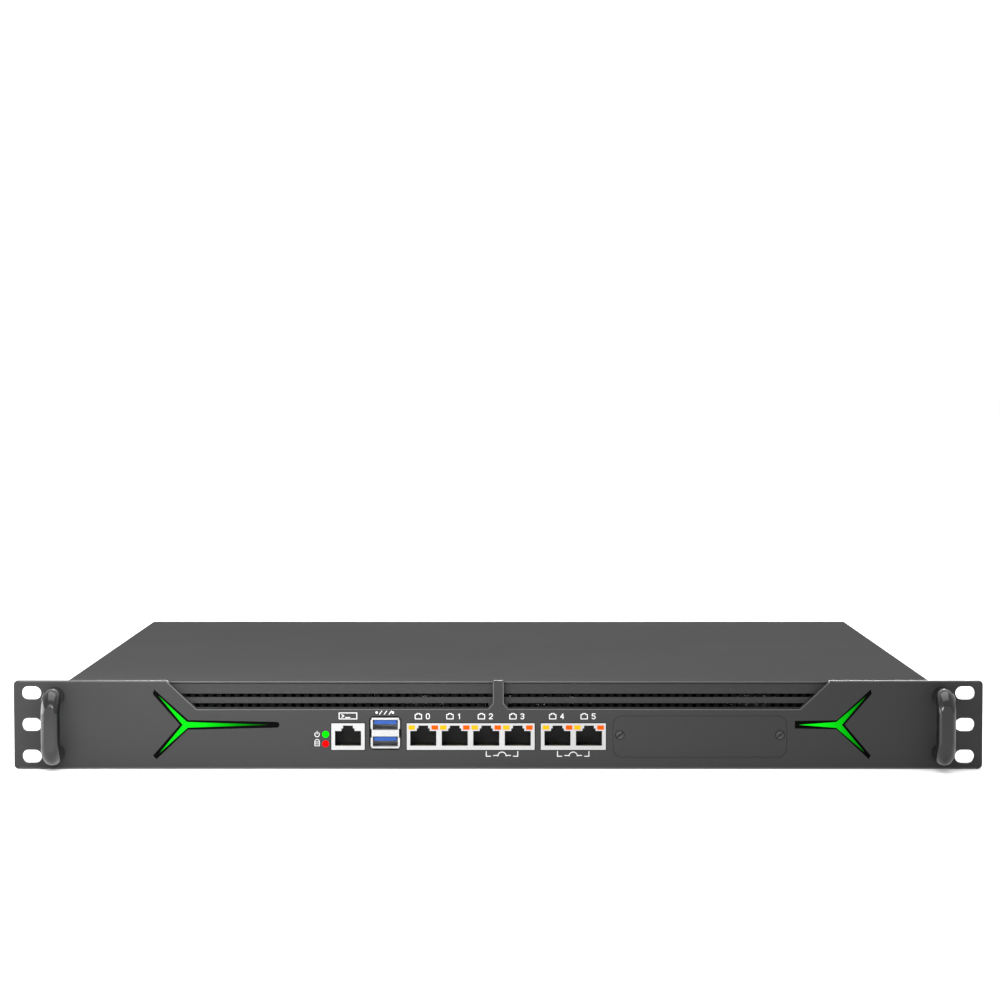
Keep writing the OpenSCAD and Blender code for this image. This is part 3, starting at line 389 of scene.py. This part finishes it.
def stroke(bm, pts, width, y0, y1, closed=False):
    """A thin raised line through the points, with round joints and ends."""
    ends = pts[1:] + pts[:1] if closed else pts[1:]
    for i, ((x0, z0), (x1, z1)) in enumerate(zip(pts, ends)):
        d = Vector((x1 - x0, z1 - z0))
        n = Vector((-d.y, d.x)).normalized() * (width / 2)
        k = LAYER * (i % 3)     # neighbours that overlap don't share a plane
        prism(bm, [(x0 + n.x, z0 + n.y), (x0 - n.x, z0 - n.y), (x1 - n.x, z1 - n.y), (x1 + n.x, z1 + n.y)],
              y0 + k, y1 - k)
    for x, z in pts:
        disc(bm, x, z, width / 2, y0 + 3 * LAYER, y1 - 3 * LAYER, JOINT_SIDES)


# from where to where in depth each kind of thin piece reaches, in mm
FRONT_INK = (-0.035, 0.01)
PLATE_INK = (PLATE - 0.01, PLATE + 0.035)
GAP = (-0.03, 0.01)
EDGE = (-0.02, 0.015)
COVER_EDGE = (2.98, 3.05)
SEAM = (REAR - 0.01, REAR + 0.03)
SCREW_RING = (REAR - 0.01, REAR + 0.02)
SCREW_SLOT = (REAR - 0.4, REAR + 0.015)
COVER_SCREW_SLOT = (-0.33, -0.28)

# line widths, in mm
INK_W = 0.42
POWER_W = 0.34
STORE_W = 0.28
EDGE_W = 0.42
FOOT_EDGE_W = 0.3
COVER_EDGE_W = 0.5
GAP_W = 0.5
USB_GAP_W = 0.75
RING_W = 0.22
FULL_TURN = 359.5               # just short of closed, so that a bow's ends don't meet

# ---- the numbers' strokes, in a box one wide and one high ------------------
DIGITS = {
    "0": [[(0, 0.25), (0, 0.75), (0.25, 1), (0.75, 1), (1, 0.75), (1, 0.25), (0.75, 0), (0.25, 0),
           (0, 0.25)]],
    "1": [[(0.2, 0.75), (0.55, 1), (0.55, 0)]],
    "2": [[(0, 0.8), (0.25, 1), (0.75, 1), (1, 0.8), (1, 0.62), (0, 0), (1, 0)]],
    "3": [[(0, 0.85), (0.25, 1), (0.75, 1), (1, 0.8), (0.75, 0.53), (0.4, 0.53)],
          [(0.75, 0.53), (1, 0.27), (0.75, 0), (0.25, 0), (0, 0.15)]],
    "4": [[(0.75, 0), (0.75, 1), (0, 0.32), (1, 0.32)]],
    "5": [[(1, 1), (0.1, 1), (0.05, 0.58), (0.7, 0.6), (1, 0.38), (1, 0.22), (0.72, 0), (0.25, 0),
           (0, 0.15)]],
}
DIGIT_W, DIGIT_H = 1.6, 2.5


def digit(bm, ch, x, z):
    for line in DIGITS[ch]:
        stroke(bm, [(x + (u - 0.5) * DIGIT_W, z + (v - 0.5) * DIGIT_H) for u, v in line], INK_W, *FRONT_INK)


# ---- printed markings on the front: numbers, plain icons and brackets ------
LAN_X = (-37.4, -21.7, -6.0, 9.7, 29.5, 45.2)
CONSOLE_X = -74.9
USB_SIGN_X = -56.4
LAMP_SIGN_X = -90.3

bm = bmesh.new()
for i, x in enumerate(LAN_X):
    # a small socket outline with the port's number beside it
    stroke(bm, [(x - 4.0, 24.9), (x - 4.0, 27.1), (x - 3.1, 27.1), (x - 3.1, 27.6), (x - 1.7, 27.6),
                (x - 1.7, 27.1), (x - 0.8, 27.1), (x - 0.8, 24.9)], INK_W, *FRONT_INK, closed=True)
    digit(bm, str(i), x + 2.3, 26.2)
for x0, x1 in (LAN_X[2:4], LAN_X[4:6]):
    for s, x in ((1, x0), (-1, x1)):
        stroke(bm, [(x, 8.6), (x, 6.2), (x + s * 2.2, 6.2)], INK_W, *FRONT_INK)
    m = (x0 + x1) / 2
    # a plain way-past sign: two pads joined by an arch
    stroke(bm, [(m - 4.2, 6.6), (m - 2.6, 6.6)], INK_W, *FRONT_INK)
    stroke(bm, [(m + 2.6, 6.6), (m + 4.2, 6.6)], INK_W, *FRONT_INK)
    bow(bm, m, 6.2, 2.1, 168, 12, INK_W, *FRONT_INK)
    disc(bm, m - 2.1, 6.6, 0.42, *FRONT_INK)
    disc(bm, m + 2.1, 6.6, 0.42, *FRONT_INK)
# terminal sign above the console socket
x = CONSOLE_X
stroke(bm, [(x - 4.4, 24.9), (x - 4.4, 27.9), (x + 4.4, 27.9), (x + 4.4, 24.9)], INK_W, *FRONT_INK,
       closed=True)
stroke(bm, [(x - 3.1, 27.1), (x - 2.0, 26.4), (x - 3.1, 25.7)], INK_W, *FRONT_INK)
stroke(bm, [(x - 1.2, 25.6), (x + 0.9, 25.6)], INK_W, *FRONT_INK)
# three bars between two dots above the stacked USB sockets
x = USB_SIGN_X
for k in range(3):
    stroke(bm, [(x - 2.8 + 2.4 * k, 27.2), (x - 1.6 + 2.4 * k, 28.9)], INK_W, *FRONT_INK)
disc(bm, x + 3.9, 28.1, 0.62, *FRONT_INK)
disc(bm, x - 4.2, 28.1, 0.62, *FRONT_INK)
# power sign and store sign beside the two lamps
x = LAMP_SIGN_X
bow(bm, x, 17.1, 1.15, 125, 415, POWER_W, *FRONT_INK)
stroke(bm, [(x, 17.3), (x, 18.7)], POWER_W, *FRONT_INK)
bow(bm, x, 13.5, 1.15, 0, 180, STORE_W, *FRONT_INK)
stroke(bm, [(x - 1.15, 13.4), (x - 1.15, 11.4), (x + 1.15, 11.4), (x + 1.15, 13.4)], STORE_W, *FRONT_INK,
       closed=True)
stroke(bm, [(x - 1.0, 12.4), (x + 1.0, 12.4)], 0.26, *FRONT_INK)
finish_mesh("front_markings", bm, M["ink"])

# ---- painted shade: black strips on the panel for the dark gaps around the sockets ---
bm = bmesh.new()
for x0, x1 in ((-83.35, -66.45), (-45.75, 18.25), (21.05, 53.75)):
    stroke(bm, [(x0, 9.3), (x0, 22.8), (x1, 22.8), (x1, 9.3)], GAP_W, *GAP, closed=True)
x = -56.3
stroke(bm, [(x - 7.65, 11.3), (x - 7.65, 24.6), (x - 6.3, 25.9), (x + 6.3, 25.9), (x + 7.65, 24.6),
            (x + 7.65, 11.3), (x + 6.3, 9.8), (x - 6.3, 9.8)], USB_GAP_W, *GAP, closed=True)
finish_mesh("socket_gaps", bm, M["painted_gap_shade"])

# ---- painted highlight: paler strips along the panel's and the cover's front edges, for the light they catch ---
bm = bmesh.new()
for k in (-1, 1):
    stroke(bm, [(k * 2.45, 43.2), (k * 2.45, 32.6), (k * 5.0, 29.7), (k * 150.4, 29.55), (k * 165.4, 43.6)],
           EDGE_W, *EDGE)
    stroke(bm, [(k * 166.0, 43.6), (k * 238.8, 43.6)], EDGE_W, *EDGE)
stroke(bm, [(-238.8, 0.35), (238.8, 0.35)], FOOT_EDGE_W, *EDGE)
for x0, x1 in ((-163.5, -2.8), (2.8, 163.5)):
    stroke(bm, [(x0, 43.2), (x1, 43.2)], COVER_EDGE_W, *COVER_EDGE)
finish_mesh("front_edge_painted_highlight", bm, M["powder_edge_painted_highlight"])

# ---- painted shade: black strips for the dark seams where the cover and the side walls meet the rear wall ------
bm = bmesh.new()
for k in (-1, 1):
    stroke(bm, [(k * 212.8, 1.0), (k * 212.8, 29.6)], 0.85, *SEAM)
    stroke(bm, [(k * 212.3, 32.2), (k * 212.3, 41.4)], 0.7, *SEAM)
    stroke(bm, [(k * 213.4, 41.85), (k * 89.6, 41.85)], 1.0, *SEAM)
    stroke(bm, [(k * 89.4, 41.7), (k * 88.9, 42.3), (0.0, 42.3)], 0.4, *SEAM)
stroke(bm, [(-203.2, 1.0), (-203.2, 41.0)], 0.26, *SEAM)
finish_mesh("rear_seams", bm, M["painted_gap_shade"])

# ---- painted shade: a black ring around each rear screw, and a black cross for the recess in its head ---
REAR_SCREWS = ((83.2, 37.0), (-83.2, 37.0), (-93.5, 36.4), (-93.5, 6.5), (-207.8, 36.4), (-207.8, 6.5),
               (205.1, 21.2), (149.9, 38.2), (149.9, 4.5), (95.1, 21.2))
CROSS = 1.1                     # half the length of an arm

bm = bmesh.new()
for x, z in REAR_SCREWS:
    bow(bm, x, z, 2.05, 0, FULL_TURN, RING_W, *SCREW_RING)
    for dx, dz in ((CROSS, 0.0), (0.0, CROSS)):
        stroke(bm, [(x - dx, z - dz), (x + dx, z + dz)], 0.5, *SCREW_SLOT)
finish_mesh("rear_screw_slots", bm, M["painted_gap_shade"])

# ---- painted shade: the shadow gap around the blank cover's two screws, and a black strip for the slot in each head ---
BLANK_X, BLANK_SCREW_Z = 100.5, 16.8
BLANK_SCREW_OFF = 39.9
SLOT_HALF = 1.9
SLOT_TURN = math.radians(40)

bm = bmesh.new()
dx, dz = SLOT_HALF * math.cos(SLOT_TURN), SLOT_HALF * math.sin(SLOT_TURN)
z = BLANK_SCREW_Z
for s in (-1, 1):
    x = BLANK_X + s * BLANK_SCREW_OFF
    bow(bm, x, z, 2.25, 0, FULL_TURN, RING_W, *GAP)
    stroke(bm, [(x - dx, z - dz), (x + dx, z + dz)], INK_W, *COVER_SCREW_SLOT)
finish_mesh("cover_screw_slots", bm, M["painted_gap_shade"])

# ---- printed markings on the rear -----------------------------------------
PLUG_X = (127.5, 142.4, 157.5, 172.5)
BRACKET_Z, BRACKET_FOOT_Z = 32.75, 31.7

bm = bmesh.new()
# power sign beside the rocker
x, z = 179.8, 21.2
bow(bm, x, z, 1.8, 122, 418, 0.6, *PLATE_INK)
stroke(bm, [(x, z + 0.4), (x, z + 2.5)], 0.6, *PLATE_INK)
# ring and dot beside the button
x, z = 111.1, 27.4
bow(bm, x, z, 1.5, 0, FULL_TURN, 0.38, *PLATE_INK)
disc(bm, x, z, 0.5, *PLATE_INK)
# bracket over the four covered holes, with a dot and an arc in its gap
for x0, x1, mid in ((PLUG_X[0], 146.9, PLUG_X[1]), (153.1, PLUG_X[3], PLUG_X[2])):
    stroke(bm, [(x0, BRACKET_Z), (x1, BRACKET_Z)], INK_W, *PLATE_INK)
    stroke(bm, [(mid, BRACKET_Z), (mid, BRACKET_FOOT_Z)], INK_W, *PLATE_INK)
for x in (PLUG_X[0], PLUG_X[3]):
    stroke(bm, [(x, BRACKET_Z), (x, BRACKET_FOOT_Z)], INK_W, *PLATE_INK)
x, z = 150.0, 30.7
disc(bm, x, z, 0.45, *PLATE_INK)
prism(bm, arc(x, z, 2.9, 48, 132, 10) + arc(x, z, 1.2, 132, 48, 6), *PLATE_INK)
# a plain screen by the video socket
stroke(bm, [(157.2, 19.3), (157.2, 21.7), (163.0, 21.7), (163.0, 19.3)], INK_W, *PLATE_INK, closed=True)
stroke(bm, [(158.9, 18.6), (161.3, 18.6)], 0.38, *PLATE_INK)
finish_mesh("rear_markings", bm, M["ink"])

# ---- floor and light ------------------------------------------------------
FLOOR_HALF = 40.0               # metres
FLOOR_DROP = 0.0002             # keeps the floor clear of the tray's underside

bm = bmesh.new()
corners = ((-1, -1), (1, -1), (1, 1), (-1, 1))
bm.faces.new([bm.verts.new((sx * FLOOR_HALF, sy * FLOOR_HALF, FLOOR_Z - FLOOR_DROP)) for sx, sy in corners])
floor = mesh_object("floor", bm, surface("floor_paint", (0.97, 0.97, 0.97), 0.7, vary=0.01, grain=20.0,
                                         bump=0.0, patch=1.5, rough_vary=0.02, specular=0.1))


def area(name, pos, target, size_x, size_y, power):
    """A soft light that doesn't show itself: its place and aim, its size in metres and its watts."""
    data = bpy.data.lights.new(name, "AREA")
    data.shape = "RECTANGLE"
    data.size = size_x
    data.size_y = size_y
    data.energy = power
    obj = bpy.data.objects.new(name, data)
    bpy.context.collection.objects.link(obj)
    obj.location = pos
    obj.rotation_euler = (target - pos).to_track_quat("-Z", "Y").to_euler()
    obj.visible_camera = False


area("key_left", at(-160, -260, 170), at(-160, 0, 22), 0.3, 0.08, 1.38)
area("side_left", at(-600, 20, 70), at(-222, -14, 22), 0.45, 0.2, 2.0)
area("top_soft", at(0, 190, 1300), at(0, 190, 0), 1.4, 1.4, 18.0)
area("rear_soft", at(60, 1250, 230), at(40, 400, 22), 0.8, 0.4, 8.5)

SKY = 1.035                     # just over white, so that the floor's far end meets it unseen
world = bpy.data.worlds.new("studio")
bpy.context.scene.world = world
world.use_nodes = True
back = world.node_tree.nodes["Background"]
back.inputs["Color"].default_value = (1.0, 1.0, 1.0, 1.0)
back.inputs["Strength"].default_value = SKY
